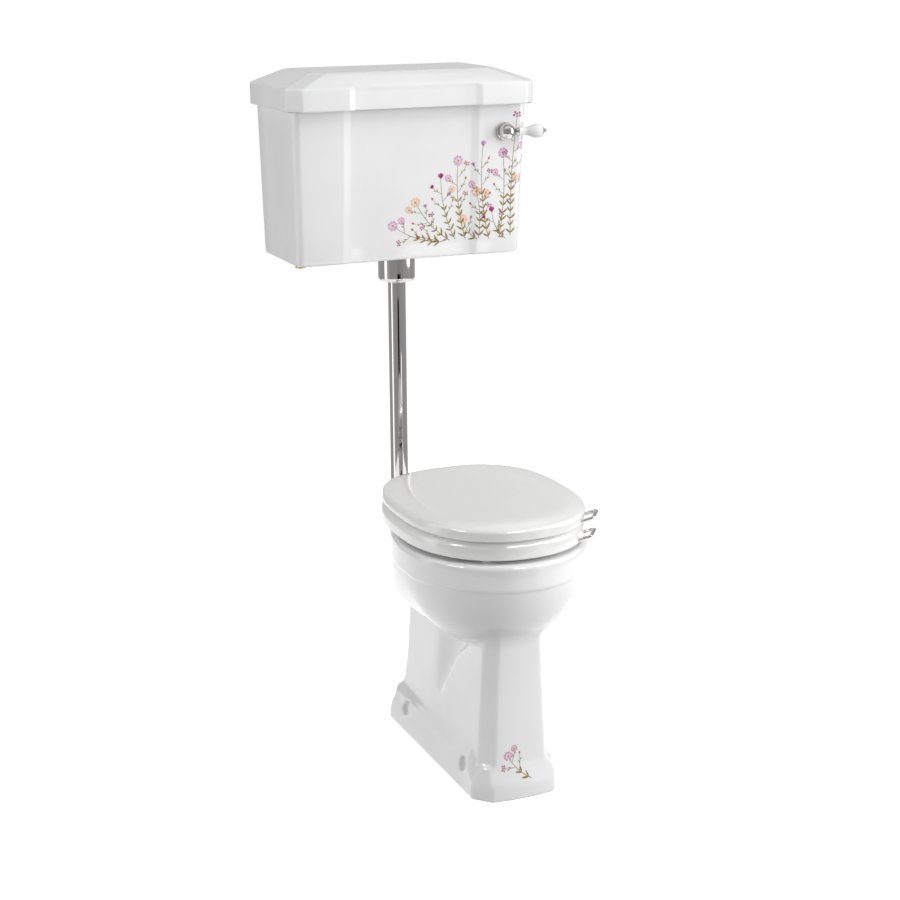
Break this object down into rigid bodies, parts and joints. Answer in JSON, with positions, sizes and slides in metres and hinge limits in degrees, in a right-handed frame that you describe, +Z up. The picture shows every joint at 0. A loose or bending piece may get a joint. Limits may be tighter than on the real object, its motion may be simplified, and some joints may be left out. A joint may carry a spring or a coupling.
{
  "type": "toilet",
  "caption": "Toilet with a wall-hung china cistern, an upright chrome flush pipe, and a floor-standing pan with a hinged seat and lid.",
  "frame": {"origin": "floor level, at the centre of the pan's four floor-screw holes, on the pan's middle plane", "axes": "+X to the right of someone facing the toilet, +Y towards the wall, +Z up; the front faces -Y and the wall is the plane y = 0.512"},
  "size_m": [0.56, 0.8236, 1.3645],
  "materials": {
    "china": "white gloss glaze",
    "lacquer": "white gloss lacquer on wood",
    "chrome": "polished plating",
    "brass": "as machined",
    "rubber": "matt",
    "plastic": "satin moulding"
  },
  "bodies": {
    "fixed": {"cistern_body": "china", "lever_rosette": "chrome", "lever_backnut": "brass", "lever_washers": "rubber", "siphon_body": "plastic", "siphon_washers": "rubber", "siphon_backnut": "brass", "float_valve": "brass", "float_valve_backnut": "brass", "float_valve_washers": "rubber", "float_pin": "brass", "pipe_nut": "brass", "pipe_washer": "rubber", "pipe_shroud": "chrome", "flush_pipe": "chrome", "flush_cone": "rubber", "pan": "china", "hinge_pillars": "chrome", "pillar_washers": "rubber", "pillar_studs": "brass", "pillar_nuts": "brass", "hinge_bar": "chrome", "bar_ends": "chrome"},
    "cistern_lid_body": {"cistern_lid": "china"},
    "lever": {"lever_hub": "chrome", "lever_neck": "chrome", "lever_grip": "china", "lever_finial": "chrome", "lift_arm": "brass", "lift_arm_screw": "brass"},
    "lift": {"siphon_piston": "plastic", "siphon_diaphragm": "rubber", "lift_link": "brass"},
    "float_lever": {"float_arm": "brass", "float": "plastic"},
    "plunger": {"valve_plunger": "brass"},
    "ring": {"seat_ring": "lacquer", "ring_brackets": "chrome", "ring_bracket_screws": "brass", "ring_buffers": "rubber", "ring_handle": "chrome"},
    "cover": {"seat_cover": "lacquer", "cover_brackets": "chrome", "cover_bracket_screws": "brass", "cover_buffers": "rubber", "cover_handle": "chrome"}
  },
  "joints": [
    {"name": "cover_hinge", "type": "hinge", "parent": "fixed", "child": "cover", "pos_m": [0, 0.167, 0.52], "axis": [-1, 0, 0], "range_deg": [0, 97]},
    {"name": "ring_hinge", "type": "hinge", "parent": "fixed", "child": "ring", "pos_m": [0, 0.167, 0.52], "axis": [-1, 0, 0], "range_deg": [0, 95]},
    {"name": "lever_turn", "type": "hinge", "parent": "fixed", "child": "lever", "pos_m": [0.206, 0.3, 1.235], "axis": [0, 1, 0], "range_deg": [0, 22]},
    {"name": "siphon_lift", "type": "slide", "parent": "fixed", "child": "lift", "axis": [0, 0, 1], "range_m": [0, 0.061]},
    {"name": "float_turn", "type": "hinge", "parent": "fixed", "child": "float_lever", "pos_m": [-0.17, 0.452, 1.173], "axis": [0, -1, 0], "range_deg": [0, 35]},
    {"name": "plunger_slide", "type": "slide", "parent": "fixed", "child": "plunger", "axis": [-1, 0, 0], "range_m": [0, 0.0052]},
    {"name": "lid_lift", "type": "slide", "parent": "fixed", "child": "cistern_lid_body", "axis": [0, 0, 1], "range_m": [0, 0.25]}
  ],
  "couplings": [
    {"joint": "ring_hinge", "follows": "cover_hinge", "ratio": 0.979},
    {"joint": "siphon_lift", "follows": "lever_turn", "m_per_rad": 0.1588},
    {"joint": "plunger_slide", "follows": "float_turn", "m_per_rad": 0.008451}
  ]
}
